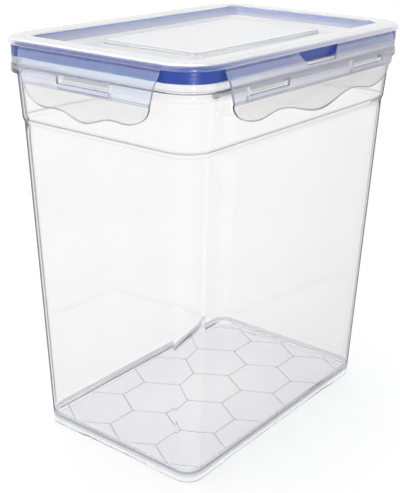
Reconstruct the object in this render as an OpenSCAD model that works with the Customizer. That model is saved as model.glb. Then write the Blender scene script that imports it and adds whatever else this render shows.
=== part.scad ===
// Tall clear food bin with a snap lid that locks on all four sides.
// Millimetres, Z up. The origin is the centre of the base, at table height.
// X runs along the long sides, and the front is the long side at -Y.

/* [Container] */
// Outer length of the container at the table
base_w = 249; // [200:1:270]
// Outer width of the container at the table
base_d = 159; // [120:1:175]
// Outer length of the container just under the collar
body_w = 276; // [250:1:320]
// Outer width of the container just under the collar
body_d = 174.5; // [162:0.5:230]
// Radius of the upright corners at the table
base_r = 14; // [8:1:20]
// Radius of the upright corners just under the collar
body_r = 20; // [18:1:26]
// Thickness of the container walls
wall = 2.2; // [1.6:0.1:2.6]
// Height of the inside floor above the table
floor_z = 8.5; // [6:0.5:14]
// Thickness of the floor
floor_t = 2.5; // [1.6:0.1:4]
// Thickness of the foot rim under the floor
foot_t = 3; // [2:0.1:5]
// Length of each corner foot along the sides
foot_len = 46; // [25:1:60]
// Height that the foot rim is cut back between the corner feet
foot_relief = 1; // [0.5:0.1:2]
// Height of the step where the collar starts
collar_z = 265; // [220:1:275]
// Height of the slope that leads out to the collar
collar_step_h = 3.5; // [2:0.5:6]
// How far the collar stands out of the body
collar_out = 1.3; // [0.8:0.1:2.5]
// How far the collar leans out on its way up to the flange
collar_flare = 2.6; // [1:0.1:4]

/* [Rim and lugs] */
// How far the wall round the mouth stands out of the top of the collar
mouth_out = 2.1; // [1.2:0.1:3]
// Height of the container rim, which the gasket rests on
rim_z = 316.5; // [300:0.5:340]
// Height of the bead round the rim
bead_h = 5; // [3:0.5:8]
// How far the rim bead stands out of the mouth wall
bead_out = 1.4; // [0.6:0.1:1.8]
// Height of the groove between bead and flange
groove_h = 1.5; // [1:0.1:3]
// Height of the flange that carries the lugs
flange_h = 6; // [5.8:0.1:8]
// How far the flange stands out of the mouth wall
flange_out = 2.2; // [1.5:0.1:2.4]
// Length of a lug
lug_w = 44; // [30:1:46]
// Height of a lug
lug_h = 4.6; // [3:0.1:5]
// How far a lug stands out of the flange
lug_out = 1.8; // [1.2:0.1:2]

/* [Lid] */
// How far the lid stands out of the top of the collar all round
lid_over = 5.3; // [5.1:0.1:6.5]
// Height of the lip round the lid
lip_h = 5; // [4.8:0.1:9]
// Thickness of the lip
lip_t = 1.6; // [1.2:0.1:2]
// Thickness of the lid elsewhere
lid_t = 2; // [1.5:0.1:2.4]
// Radius on the outer edge of the raised rim
rim_round = 4.2; // [3:0.1:4.6]
// Radius on the inner edge of the raised rim
rim_round_in = 2.6; // [2:0.1:3.4]
// Bevel of the channel and the gasket under the outer edge
channel_bevel = 1.6; // [1:0.1:2]
// Width of the raised rim at its top
rim_w = 19; // [16:0.5:22]
// Depth of the recess inside the raised rim
recess_h = 8.2; // [6:0.1:9]
// Run of the sloping wall of the recess
recess_run = 4.5; // [2:0.1:5]
// Thickness of the skirt that holds the gasket in
skirt_t = 1.6; // [1:0.1:2]
// Gap between the skirt and the rim of the container, upright
skirt_gap = 2.5; // [1:0.5:5]
// Length of the raised panel in the middle
panel_w = 166; // [100:1:190]
// Width of the raised panel in the middle
panel_d = 95; // [60:1:110]
// Corner radius of the raised panel
panel_r = 7; // [4:1:15]
// Height of the raised panel above the recess
panel_h = 3.2; // [1:0.1:4]
// Diameter of the moulding nub in the middle of the lid
nub_d = 3; // [2:0.5:5]
// Height of the moulding nub
nub_h = 0.5; // [0.3:0.1:1]

/* [Gasket] */
// Height of the gasket between the rim and the lip
gasket_h = 8.5; // [7:0.5:12]
// Width of the gasket
gasket_w = 7.4; // [6:0.1:9]
// Width of the gasket face that rests on the rim
gasket_foot_w = 4.8; // [4:0.1:5.6]
// Height of the slope on the inner side of the gasket
gasket_slope_h = 2; // [1:0.1:4]
// Gap between the gasket and its channel
gasket_fit = 0.1; // [0.05:0.05:0.2]

/* [Clips] */
// Length of the clips on the long sides, at the hinge
long_clip_w = 230; // [218:1:232]
// Length of the clips on the short sides, at the hinge
short_clip_w = 134; // [126:1:134]
// How much narrower a clip is on each side at its ledge
clip_taper = 6; // [3:0.5:8]
// Thickness of the upper plate of a clip
clip_t = 1.8; // [1.4:0.1:2.2]
// How far the plate bulges out between hinge and window
clip_bulge = 1.7; // [1:0.1:3]
// Thickness of the finger tab under the ledge
tab_t = 1.5; // [1.2:0.1:2]
// Height of the hook bar under a window
hook_h = 4.5; // [3:0.1:6]
// Free height between the hook bar and the lug over it
hook_gap = 0.4; // [0.3:0.1:1]
// Gap between lug and clip when the lid is lifted off
lift_gap = 0.3; // [0.3:0.05:0.6]
// Free length at each end of a lug in its window
window_side = 2.5; // [1:0.5:4]
// Free height between a lug and the top of its window
window_top = 0.9; // [0.5:0.1:2]
// Distance from the middle of a long clip to each window's middle
window_x = 69; // [64:1:74]
// Width of the posts beside each window
post_w = 3; // [2:0.5:6]
// How far the posts stand out of the plate
post_out = 0.5; // [0.3:0.1:1]
// Depth of the shallow field between the windows
field_depth = 0.4; // [0.2:0.1:0.8]
// Length of the cut in a long clip at the hinge
notch_top_w = 52; // [30:1:60]
// Length of that cut at its lower edge
notch_low_w = 39; // [20:1:48]
// Depth of that cut
notch_h = 8; // [5:0.5:9]
// Drop of the middle lobe of a tab below the ledge
lobe_mid = 20.5; // [15:0.5:28]
// Drop of the side lobes of a tab below the ledge
lobe_side = 15.2; // [10:0.5:20]
// Drop of the tab edge between the lobes
lobe_dip = 11.8; // [8:0.5:14]
// Drop of that edge on the short clips
short_lobe_dip = 14.6; // [9:0.2:15]
// How far the tab turns out at its lower edge
tab_flick = 1; // [0.4:0.1:2]

/* [Film hinges] */
// Height of the thin film that joins each clip to the lid
film_h = 1.9; // [1.4:0.1:3]
// Thickness of the film
film_t = 0.45; // [0.3:0.05:0.6]
// Distance from the outer face of the lip to the middle of the film
film_in = 0.3; // [0.25:0.05:0.6]

/* [Hidden] */
$fn = 48;
EPS = 0.02;

// Heights, from the container rim
bead_z = rim_z - bead_h;
flange_top = bead_z - groove_h;
flange_z = flange_top - flange_h;
lug_z = flange_z + (flange_h - lug_h) / 2;
lip_z = rim_z + gasket_h;
lid_top = lip_z + lip_h;
ceiling_z = lid_top - lid_t;
gasket_top = ceiling_z - gasket_fit;
recess_z = lid_top - recess_h;
clip_top = lip_z - film_h;
hinge_z = lip_z - film_h / 2;
hook_z = lug_z - hook_gap;
window_top_z = lug_z + lug_h + window_top;
ledge_z = hook_z - hook_h;

// Sizes in plan. An offset is measured outwards from the outer face of the lid lip.
lid_w = body_w + 2 * (collar_out + collar_flare + lid_over);
lid_d = body_d + 2 * (collar_out + collar_flare + lid_over);
lid_r = body_r + collar_out + collar_flare + lid_over;
collar_u = -lid_over;
mouth_u = collar_u + mouth_out;
mouth_in_u = mouth_u - wall;
flange_u = mouth_u + flange_out;
bead_u = mouth_u + bead_out;
lug_u = flange_u + lug_out;
tab_u = lug_u + lift_gap;
plate_u = tab_u + tab_t - 0.4;
film_u = -film_in;
clip_in_u = -lip_t / 2 + 0.2;
land_u = clip_in_u + 1;
gasket_out_u = -lip_t - gasket_fit;
gasket_in_u = gasket_out_u - gasket_w;
skirt_out_u = gasket_in_u - gasket_fit;
skirt_in_u = skirt_out_u - skirt_t;
window_w = lug_w + 2 * window_side;
plate_end_u = -rim_w - recess_run - 3;

// Points on an arc in a section
function arc(cu, cz, r, from, to, steps) =
    [for (i = [0:steps]) let (a = from + (to - from) * i / steps) [cu + r * cos(a), cz + r * sin(a)]];
// Smooth step from 0 to 1
function ease(t) = (1 - cos(180 * t)) / 2;
// Drop of a tab's lower edge at distance s from its middle
function tab_drop(s, mid, dip, side, dip_s, side_s, end_s) =
    s < dip_s ? mid + (dip - mid) * ease(s / dip_s)
    : s < side_s ? dip + (side - dip) * ease((s - dip_s) / (side_s - dip_s))
    : side * sqrt(max(0, 1 - pow((s - side_s) / (end_s - side_s), 2)));

// Rounded rectangle
module rrect(w, d, r) {
    square([w - 2 * r, d], center = true);
    square([w, d - 2 * r], center = true);
    for (x = [-1, 1], y = [-1, 1])
        translate([x * (w / 2 - r), y * (d / 2 - r)])
            circle(r);
}

// Thin rounded plate that spans the tapered walls in a hull
module slab(z, w, d, r) {
    translate([0, 0, z])
        linear_extrude(EPS)
            rrect(w, d, r, $fn = 64);
}

// Section of offsets and heights, swept round the outline of the lid
module ring(section) {
    for (side = [0, 180]) {
        rotate(side)
            translate([0, -lid_d / 2, 0])
                rotate([90, 0, 90])
                    linear_extrude(lid_w - 2 * lid_r, center = true)
                        polygon([for (p = section) [-p[0], p[1]]]);
        rotate(side + 90)
            translate([0, -lid_w / 2, 0])
                rotate([90, 0, 90])
                    linear_extrude(lid_d - 2 * lid_r, center = true)
                        polygon([for (p = section) [-p[0], p[1]]]);
    }
    for (x = [-1, 1], y = [-1, 1])
        translate([x * (lid_w / 2 - lid_r), y * (lid_d / 2 - lid_r), 0])
            rotate(x > 0 ? (y > 0 ? 0 : 270) : (y > 0 ? 90 : 180))
                rotate_extrude(angle = 90)
                    polygon([for (p = section) [lid_r + p[0], p[1]]]);
}

// Puts what is drawn for the front at the same place on another side.
// In there X runs along the side, -Y points outwards and Y = 0 is the lip's outer face.
module on_side(side) {
    half = (side == "front" || side == "back") ? lid_d / 2 : lid_w / 2;
    turn = side == "front" ? 0 : side == "right" ? 90 : side == "back" ? 180 : 270;
    rotate(turn)
        translate([0, -half, 0])
            children();
}

// Prism with a section of offsets and heights, run along a side
module along(section, length) {
    rotate([90, 0, 90])
        linear_extrude(length, center = true)
            polygon([for (p = section) [-p[0], p[1]]]);
}

// Tapered tub, drawn smaller by inset for its inside
module tub(inset, bottom) {
    top_w = body_w + 2 * (collar_out - inset);
    top_d = body_d + 2 * (collar_out - inset);
    top_r = body_r + collar_out - inset;
    // Size of the lower walls at the height where this tub starts
    grow = bottom / collar_z;
    low_w = base_w + (body_w - base_w) * grow - 2 * inset;
    low_d = base_d + (body_d - base_d) * grow - 2 * inset;
    low_r = base_r + (body_r - base_r) * grow - inset;
    hull() {
        slab(bottom, low_w, low_d, low_r);
        slab(collar_z, body_w - 2 * inset, body_d - 2 * inset, body_r - inset);
    }
    hull() {
        slab(collar_z, body_w - 2 * inset, body_d - 2 * inset, body_r - inset);
        slab(collar_z + collar_step_h, top_w, top_d, top_r);
    }
    hull() {
        slab(collar_z + collar_step_h, top_w, top_d, top_r);
        slab(flange_z, top_w + 2 * collar_flare, top_d + 2 * collar_flare, top_r + collar_flare);
    }
}

// One lug, with a sloped top that a hook slides over
module lug() {
    along([[flange_u - 0.5, lug_z], [lug_u, lug_z], [lug_u, lug_z + lug_h / 2],
           [flange_u, lug_z + lug_h], [flange_u - 0.5, lug_z + lug_h]], lug_w);
}

module container() {
    color([0.86, 0.92, 0.96, 0.45])
        union() {
            difference() {
                tub(0, 0);
                tub(wall, floor_z);
                // Hollow under the floor, inside the foot rim
                translate([0, 0, -1])
                    linear_extrude(floor_z - floor_t + 1)
                        rrect(base_w - 2 * foot_t, base_d - 2 * foot_t, base_r - foot_t);
                // The foot rim is cut back between the corner feet
                cube([base_w - 2 * foot_len, base_d * 2, 2 * foot_relief], center = true);
                cube([base_w * 2, base_d - 2 * foot_len, 2 * foot_relief], center = true);
            }
            ring([[collar_u - wall, flange_z], [flange_u, flange_z], [flange_u, flange_top],
                  [mouth_u, flange_top], [mouth_u, bead_z], [bead_u, bead_z], [bead_u, rim_z],
                  [mouth_in_u, rim_z], [mouth_in_u, flange_z + wall + mouth_out],
                  [collar_u - wall, flange_z + wall]]);
            for (side = ["front", "back"], x = [-window_x, window_x])
                on_side(side)
                    translate([x, 0, 0])
                        lug();
            for (side = ["left", "right"])
                on_side(side)
                    lug();
        }
}

module gasket() {
    color([0.13, 0.25, 0.68])
        ring([[gasket_out_u, rim_z], [gasket_out_u, gasket_top - channel_bevel],
              [gasket_out_u - channel_bevel, gasket_top], [gasket_in_u, gasket_top],
              [gasket_in_u, rim_z + gasket_slope_h], [gasket_out_u - gasket_foot_w, rim_z]]);
}

module lid() {
    wall_run_t = lid_t * 1.2;
    crest_u = -rim_w + rim_round_in;
    wall_u = crest_u - rim_round_in * cos(30);
    foot_u = -rim_w - recess_run;
    color([0.93, 0.93, 0.92, 0.8])
        difference() {
            union() {
                ring(concat([[0, lip_z]],
                    arc(-rim_round, lid_top - rim_round, rim_round, 0, 90, 6),
                    arc(crest_u, lid_top - rim_round_in, rim_round_in, 90, 150, 4),
                    [[foot_u, recess_z], [plate_end_u, recess_z], [plate_end_u, recess_z - lid_t],
                     [foot_u + wall_run_t / 2, recess_z - lid_t], [wall_u + wall_run_t, ceiling_z],
                     [skirt_in_u, ceiling_z], [skirt_in_u, rim_z + skirt_gap],
                     [skirt_out_u, rim_z + skirt_gap], [skirt_out_u, ceiling_z],
                     [-lip_t - channel_bevel, ceiling_z], [-lip_t, ceiling_z - channel_bevel],
                     [-lip_t, lip_z]]));
                translate([0, 0, recess_z - lid_t])
                    linear_extrude(lid_t)
                        rrect(lid_w + 2 * plate_end_u + 1, lid_d + 2 * plate_end_u + 1, lid_r + plate_end_u + 0.5);
                translate([0, 0, recess_z - lid_t])
                    linear_extrude(lid_t + panel_h)
                        rrect(panel_w, panel_d, panel_r);
                translate([0, 0, recess_z])
                    cylinder(h = panel_h + nub_h, d = nub_d);
            }
            // The raised panel is hollow from below
            translate([0, 0, recess_z - lid_t - 1])
                linear_extrude(panel_h + 1)
                    rrect(panel_w - 2 * lid_t, panel_d - 2 * lid_t, panel_r - lid_t);
        }
}

// Outline of a clip seen from outside, with its waved tab
module clip_outline(w, dip, dip_s, side_s) {
    ledge_s = w / 2 - clip_taper;
    end_s = ledge_s - 1;
    steps = 28;
    edge = [for (i = [0:steps]) let (s = end_s * sin(90 * i / steps))
            [s, ledge_z - tab_drop(s, lobe_mid, dip, lobe_side, dip_s, side_s, end_s)]];
    polygon(concat([[w / 2, clip_top], [-w / 2, clip_top], [-ledge_s, ledge_z]],
        [for (i = [steps:-1:0]) [-edge[i][0], edge[i][1]]],
        [for (i = [1:steps]) edge[i]], [[ledge_s, ledge_z]]));
}

// Section of a clip: bevelled head, bulged plate, ledge, and the tab set back under it
module clip_section(length) {
    head_u = land_u + 1;
    low = window_top_z;
    high = clip_top - 2;
    steps = 8;
    tab_low = ledge_z - lobe_mid - 1;
    flick_z = ledge_z - lobe_mid / 2;
    plate_out = plate_u + clip_t;
    outer = [for (i = [0:steps]) let (t = i / steps)
             [head_u + (plate_out - head_u) * sin(90 * t), high + (low - high) * t]];
    inner = [for (i = [0:steps]) let (t = i / steps)
             [clip_in_u + (plate_u - clip_in_u) * sin(90 * t), clip_top + (low - clip_top) * t]];
    along(concat([[land_u, clip_top]], outer,
        [[plate_out, ledge_z], [tab_u + tab_t, ledge_z], [tab_u + tab_t, flick_z],
         [tab_u + tab_t + tab_flick, tab_low], [tab_u + tab_flick, tab_low], [tab_u, flick_z],
         [tab_u, ledge_z + 1.5], [plate_u, ledge_z + 1.5]],
        [for (i = [steps:-1:0]) inner[i]]), length);
}

// Hook bar with its posts, and the window over it
module window_cut() {
    translate([0, -plate_u, (hook_z + window_top_z) / 2])
        cube([window_w, 20, window_top_z - hook_z], center = true);
}
module hook_and_posts() {
    plate_out = plate_u + clip_t;
    along([[tab_u, ledge_z + 0.5], [plate_u + 0.5, ledge_z + 0.5], [plate_u + 0.5, hook_z], [tab_u, hook_z]],
          window_w);
    for (x = [-1, 1])
        translate([x * (window_w + post_w) / 2, 0, 0])
            along([[plate_u + 0.5, ledge_z], [plate_out + post_out, ledge_z],
                   [plate_out + post_out, window_top_z], [plate_u + 0.5, window_top_z]], post_w);
}

// One clip, drawn for the front. Its outline is cut through the whole depth of the section.
module clip(w, windows, dip, dip_s, side_s, notched) {
    depth = 60;
    difference() {
        union() {
            intersection() {
                clip_section(w + 2);
                translate([0, depth / 2, 0])
                    rotate([90, 0, 0])
                        linear_extrude(depth)
                            clip_outline(w, dip, dip_s, side_s);
            }
            for (x = windows)
                translate([x, 0, 0])
                    hook_and_posts();
        }
        for (x = windows)
            translate([x, 0, 0])
                window_cut();
        if (notched) {
            translate([0, depth / 2, 0])
                rotate([90, 0, 0])
                    linear_extrude(depth)
                        polygon([[-notch_top_w / 2 - 1, clip_top + 1], [notch_top_w / 2 + 1, clip_top + 1],
                                 [notch_low_w / 2, clip_top - notch_h], [-notch_low_w / 2, clip_top - notch_h]]);
            // Shallow field between the windows
            field_w = 2 * (window_x - window_w / 2 - post_w - 2);
            field_h = window_top_z - ledge_z - 1.4;
            translate([0, -plate_u - clip_t, ledge_z + 0.8 + field_h / 2])
                cube([field_w, 2 * field_depth, field_h], center = true);
        }
    }
}

module long_clip() {
    clip(long_clip_w, [-window_x, window_x], lobe_dip, long_clip_w * 0.226, long_clip_w * 0.34, true);
}
module short_clip() {
    clip(short_clip_w, [0], short_lobe_dip, short_clip_w * 0.2, short_clip_w * 0.285, false);
}

// Thin strip between the lip and the top of a clip, from one place along the side to another
module film(from, to) {
    translate([(from + to) / 2, 0, 0])
        along([[film_u - film_t / 2, clip_top], [film_u + film_t / 2, clip_top],
               [film_u + film_t / 2, lip_z], [film_u - film_t / 2, lip_z]], to - from);
}

module front_clip() { color([0.70, 0.70, 0.80, 0.8]) on_side("front") long_clip(); }
module back_clip() { color([0.70, 0.70, 0.80, 0.8]) on_side("back") long_clip(); }
module left_clip() { color([0.78, 0.81, 0.88, 0.8]) on_side("left") short_clip(); }
module right_clip() { color([0.78, 0.81, 0.88, 0.8]) on_side("right") short_clip(); }
module front_film_a() { color([0.85, 0.86, 0.9]) on_side("front") film(-long_clip_w / 2, -notch_top_w / 2 - 1); }
module front_film_b() { color([0.85, 0.86, 0.9]) on_side("front") film(notch_top_w / 2 + 1, long_clip_w / 2); }
module back_film_a() { color([0.85, 0.86, 0.9]) on_side("back") film(-long_clip_w / 2, -notch_top_w / 2 - 1); }
module back_film_b() { color([0.85, 0.86, 0.9]) on_side("back") film(notch_top_w / 2 + 1, long_clip_w / 2); }
module left_film() { color([0.85, 0.86, 0.9]) on_side("left") film(-short_clip_w / 2, short_clip_w / 2); }
module right_film() { color([0.85, 0.86, 0.9]) on_side("right") film(-short_clip_w / 2, short_clip_w / 2); }

container();
gasket();
lid();
front_clip();
back_clip();
left_clip();
right_clip();
front_film_a();
front_film_b();
back_film_a();
back_film_b();
left_film();
right_film();
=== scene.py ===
# %% [markdown]
# # A tall clear food bin with a snap lid
# The bin is three mouldings: a clear container, a blue silicone gasket, and a milky lid whose four
# clips hang on thin films of the same plastic. The CAD model fixes where each one is and how it moves.
# This script makes the surfaces that are seen: walls with real thickness and soft edges, so that light
# bends in them as it does in clear plastic.

# %% Load the frame
import math

import bmesh
import bpy
from mathutils import Matrix, Vector


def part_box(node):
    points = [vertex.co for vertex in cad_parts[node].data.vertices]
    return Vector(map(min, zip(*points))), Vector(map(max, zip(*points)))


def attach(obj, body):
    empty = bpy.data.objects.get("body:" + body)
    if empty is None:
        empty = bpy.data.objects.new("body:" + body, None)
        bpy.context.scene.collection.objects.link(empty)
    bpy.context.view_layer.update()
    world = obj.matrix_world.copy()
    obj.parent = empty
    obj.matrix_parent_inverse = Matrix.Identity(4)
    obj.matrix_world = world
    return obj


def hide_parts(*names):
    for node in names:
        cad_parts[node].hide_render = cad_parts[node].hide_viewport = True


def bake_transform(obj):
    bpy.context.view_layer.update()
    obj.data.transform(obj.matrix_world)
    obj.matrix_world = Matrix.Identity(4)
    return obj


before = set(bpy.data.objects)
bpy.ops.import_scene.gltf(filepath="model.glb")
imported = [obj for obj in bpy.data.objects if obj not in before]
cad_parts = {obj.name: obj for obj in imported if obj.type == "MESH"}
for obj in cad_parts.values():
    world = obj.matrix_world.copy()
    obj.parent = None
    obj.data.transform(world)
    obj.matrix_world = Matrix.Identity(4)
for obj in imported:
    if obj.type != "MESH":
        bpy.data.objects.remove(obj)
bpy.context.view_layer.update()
MM = 0.001
print("nodes:", sorted(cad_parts))

# %% [markdown]
# ## Sizes
# A designer draws such a bin from a few numbers: the two outlines of the tapered body, the heights of
# the steps round the mouth, and how far each step stands out. The heights that the CAD boxes give are
# read from them, and the rest are the same driving sizes, in millimetres. A name that ends in _z is a
# height, and one that ends in _u is an offset, measured outwards from the outer face of the lid's lip,
# because everything round the mouth follows that outline.

# %% Sizes
lid_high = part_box("lid")[1]
film_low, film_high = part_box("front_film_a")
rim_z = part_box("container")[1].z / MM
clip_top = film_low.z / MM
lip_z = film_high.z / MM
lid_top = lid_high.z / MM
lid_half = (lid_high.x / MM, lid_high.y / MM)
lid_r = 29.2
base_half, base_r = (124.5, 79.5), 14.0
body_half, body_r = (138.0, 87.25), 20.0
collar_z, collar_step, collar_out, collar_flare = 265.0, 3.5, 1.3, 2.6
wall, floor_z, floor_t = 2.2, 8.5, 2.5
foot_t, foot_len, foot_relief = 3.0, 46.0, 1.0
flange_z, flange_top, bead_z = rim_z - 12.5, rim_z - 6.5, rim_z - 5.0
collar_u, mouth_u, flange_u, bead_u = -5.3, -3.2, -1.0, -1.8
lug_z, lug_h, lug_w, lug_u = flange_z + 0.7, 4.6, 44.0, 0.8
print("rim", rim_z, "lip", lip_z, "lid top", lid_top, "lid half sizes", lid_half)

# %% [markdown]
# ## Outlines and lofts
# Almost every piece here is a rounded rectangle that changes as it rises. One way is to extrude a
# profile along a path, but the walls taper and the corner radius changes with height. So each height
# gets its own closed outline with the same number of points, and a loft joins them with quads. A path
# of outlines that goes up outside and down inside makes a wall with true thickness in one closed mesh.
# Each point also keeps two weights that the plastics read: one for the painted shade line that a step
# shows, and one for the rounded corners, where the eye looks along the wall and the painted edge-on
# shade is let go darker than on a flat wall.

# %% Outlines
ARC_STEPS = 14  # pieces in each rounded corner
FOOT_X = (base_half[0] - foot_len) / (base_half[0] - base_r)
FOOT_Y = (base_half[1] - foot_len) / (base_half[1] - base_r)
NICK = 0.004  # half the run of the step at the end of a corner foot, as a share of half a side
CAP_SHARE = 0.02  # size of the cap in the middle of a loft's end


def side_places(foot):
    """Places along a straight side, from -1 to 1, with a pair where a corner foot ends."""
    half = [0.0, foot / 2, foot - NICK, foot + NICK, (1 + foot) / 2]
    return [-t for t in reversed(half[1:])] + half


LONG_PLACES = side_places(FOOT_X)
SHORT_PLACES = side_places(FOOT_Y)


def outline(hx, hy, r, z):
    """Rounded rectangle at height z, counter-clockwise from the +X side, in metres."""
    points = []
    corners = [(1, 1), (-1, 1), (-1, -1), (1, -1)]
    for k, (sx, sy) in enumerate(corners):
        cx, cy = sx * (hx - r), sy * (hy - r)
        for i in range(ARC_STEPS + 1):
            a = math.radians(90 * k + 90 * i / ARC_STEPS)
            points.append(Vector((cx + r * math.cos(a), cy + r * math.sin(a), z)) * MM)
        nx, ny = corners[(k + 1) % 4]
        start, end = points[-1].copy(), Vector((nx * (hx - r), ny * (hy - r), z)) * MM
        if k % 2 == 0:
            end.y = start.y
        else:
            end.x = start.x
        for t in LONG_PLACES if k % 2 == 0 else SHORT_PLACES:
            points.append(start.lerp(end, (t + 1) / 2))
    return points


def lip_outline(u, z):
    """Outline at offset u from the outer face of the lid's lip."""
    return outline(lid_half[0] + u, lid_half[1] + u, lid_r + u, z)


AROUND = len(outline(10, 10, 2, 0))
SECOND_CORNER = ARC_STEPS + 1 + len(LONG_PLACES)
CORNER_POINTS = {half + first + i for half in (0, AROUND // 2) for first in (0, SECOND_CORNER)
                 for i in range(ARC_STEPS + 1)}
print("points in an outline:", AROUND, "in its corners:", len(CORNER_POINTS))

# %% Lofts


def finish_mesh(name, mesh, sharp=35):
    """Smooth faces with crisp edges, in an object at the origin."""
    mesh.polygons.foreach_set("use_smooth", [True] * len(mesh.polygons))
    mesh.set_sharp_from_angle(angle=math.radians(sharp))
    piece = bpy.data.objects.new(name, mesh)
    bpy.context.scene.collection.objects.link(piece)
    print(name, len(mesh.polygons), "faces")
    return piece


def keep_weights(mesh, name, weights):
    """Keeps a weight for each point, for the plastics to read."""
    mesh.attributes.new(name, "FLOAT", "POINT").data.foreach_set("value", weights)


def loft(name, outlines, closed=False, sharp=35, lines=None):
    """Joins outlines in order. A closed path meets itself. Each end of an open one narrows to a small
    cap in its middle, because one wide flat face would show the long lines it is divided on."""
    n = AROUND
    verts = [p for loop in outlines for p in loop]
    faces = []
    for i in range(len(outlines) if closed else len(outlines) - 1):
        a, b = i * n, (i + 1) % len(outlines) * n
        faces += [(a + j, a + (j + 1) % n, b + (j + 1) % n, b + j) for j in range(n)]
    if not closed:
        for ring, first, turn in ((outlines[0], 0, -1), (outlines[-1], len(verts) - n, 1)):
            cap = len(verts)
            centre = sum(ring, Vector()) / n
            verts += [centre.lerp(p, CAP_SHARE) for p in ring]
            fan = [(first + j, first + (j + 1) % n, cap + (j + 1) % n, cap + j) for j in range(n)]
            faces += [face[::turn] for face in fan + [tuple(range(cap, cap + n))]]
    mesh = bpy.data.meshes.new(name)
    mesh.from_pydata(verts, [], faces)
    if lines:
        weights = [weight for weight in lines for _ in range(n)]
        keep_weights(mesh, "line", weights + [0.0] * (len(verts) - len(weights)))
        keep_weights(mesh, "corner", [float(j % n in CORNER_POINTS) for j in range(len(verts))])
    return finish_mesh(name, mesh, sharp)


def row_materials(piece, main, others):
    """Gives a loft its main material, and other ones to the rows of faces that others names."""
    piece.data.materials.append(main)
    for material, _ in others:
        piece.data.materials.append(material)
    for face in piece.data.polygons:
        for number, (_, rows) in enumerate(others):
            if face.index // AROUND in rows:
                face.material_index = number + 1


def painted_line_weights(outlines, heights):
    """Painted shade line weight of each outline. heights pairs a height in millimetres with its weight.
    """
    return [heights.get(round(loop[0].z / MM, 1), 0.0) for loop in outlines]


def arc(cu, cz, r, start, end, steps):
    """Points on an arc in a section, as offset and height."""
    angles = [math.radians(start + (end - start) * i / steps) for i in range(steps + 1)]
    return [(cu + r * math.cos(a), cz + r * math.sin(a)) for a in angles]


# %% [markdown]
# ## Clear and milky plastics
# All the plastics here are one idea: a see-through body in which light enters, bends and leaves. Seen
# square on it is nearly invisible. Where the surface turns edge on, colour ramps paint a shade on it,
# which stands in for the darker surroundings that the plastic bends into view when the eye looks along
# it. Layer Weight gives that angle, and colour ramps turn it into colour, painted shade included, and
# clearness. A glass shader alone would cast a dark shadow, since Cycles can't follow light through it
# to a lamp, so rays that look for a lamp pass through a pale Transparent shader instead. A fine noise
# keeps each gloss from being perfectly even.

# %% Node helpers
NOISE_ENDS = (0.3, 0.7)  # a noise is nearly always between these


def add_node(tree, kind, given=None, **settings):
    """Adds a node. given names its inputs, each with a value or with the output linked to it."""
    node = tree.nodes.new(kind)
    for name, value in settings.items():
        setattr(node, name, value)
    for name, value in (given or {}).items():
        if isinstance(value, bpy.types.NodeSocket):
            tree.links.new(value, node.inputs[name])
        else:
            node.inputs[name].default_value = value
    return node


def maths(tree, operation, *values):
    """One sum with numbers or outputs."""
    return add_node(tree, "ShaderNodeMath", dict(enumerate(values)), operation=operation).outputs[0]


def new_material(name):
    mat = bpy.data.materials.new(name)
    mat.use_nodes = True
    mat.node_tree.nodes.clear()
    return mat, mat.node_tree


def ramp(tree, source, stops):
    """Colour ramp with stops of place and colour. A single number stands for a grey."""
    node = add_node(tree, "ShaderNodeValToRGB", {"Fac": source})
    elements = node.color_ramp.elements
    while len(elements) < len(stops):
        elements.new(0.5)
    while len(elements) > len(stops):
        elements.remove(elements[-1])
    for element, (place, colour) in zip(elements, stops):
        element.position = place
        element.color = (*colour, 1) if isinstance(colour, tuple) else (colour, colour, colour, 1)
    return node.outputs["Color"]


def between(tree, source, low, high, start=0, end=1):
    """Goes from low to high while source goes from start to end."""
    return add_node(tree, "ShaderNodeMapRange", {
        "Value": source, "From Min": start, "From Max": end,
        "To Min": low, "To Max": high}).outputs["Result"]


def object_noise(tree, scale, detail=2, stretch=(1, 1, 1)):
    """Noise on Object coordinates, so that it stays on the piece."""
    where = add_node(tree, "ShaderNodeTexCoord").outputs["Object"]
    place = add_node(tree, "ShaderNodeMapping", {"Vector": where, "Scale": stretch}).outputs["Vector"]
    return add_node(tree, "ShaderNodeTexNoise", {
        "Vector": place, "Scale": scale, "Detail": detail}).outputs["Fac"]


def bump(tree, source, strength, distance):
    return add_node(tree, "ShaderNodeBump", {
        "Height": source, "Strength": strength, "Distance": distance}).outputs["Normal"]


# %% Plastic
PLASTIC_IOR = 1.46
FLOW_SCALE, FLOW_STRETCH = 14, (1, 1, 0.25)
GRAIN_SCALE, GRAIN_STRENGTH, GRAIN_DEPTH = 500, 0.04, 0.02 * MM


def lets_lamps_through(tree, shader, tint):
    """Output where rays that look for a lamp pass a tinted Transparent shader."""
    path = add_node(tree, "ShaderNodeLightPath")
    clear = add_node(tree, "ShaderNodeBsdfTransparent", {"Color": (*tint, 1)})
    mix = add_node(tree, "ShaderNodeMixShader", {
        0: path.outputs["Is Shadow Ray"], 1: shader, 2: clear.outputs["BSDF"]})
    add_node(tree, "ShaderNodeOutputMaterial", {"Surface": mix.outputs["Shader"]})


def with_painted_lines(tree, colour, facing, line):
    """Multiplies a colour by the colour of the painted shade lines, as much as the piece's line weight
    says.
    """
    weight = add_node(tree, "ShaderNodeAttribute", attribute_name="line")
    return add_node(tree, "ShaderNodeMix", {
        "Factor": weight.outputs["Fac"], "A": colour, "B": ramp(tree, facing, line)},
        data_type="RGBA", blend_type="MULTIPLY").outputs["Result"]


def only_in_corners(tree, facing, most):
    """Keeps the painted edge-on shade to rounded corners: a flat wall never counts as more edge on than
    most.
    """
    corner = add_node(tree, "ShaderNodeAttribute", attribute_name="corner")
    limit = maths(tree, "MULTIPLY_ADD", corner.outputs["Fac"], 1 - most, most)
    return maths(tree, "MINIMUM", facing, limit)


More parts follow.
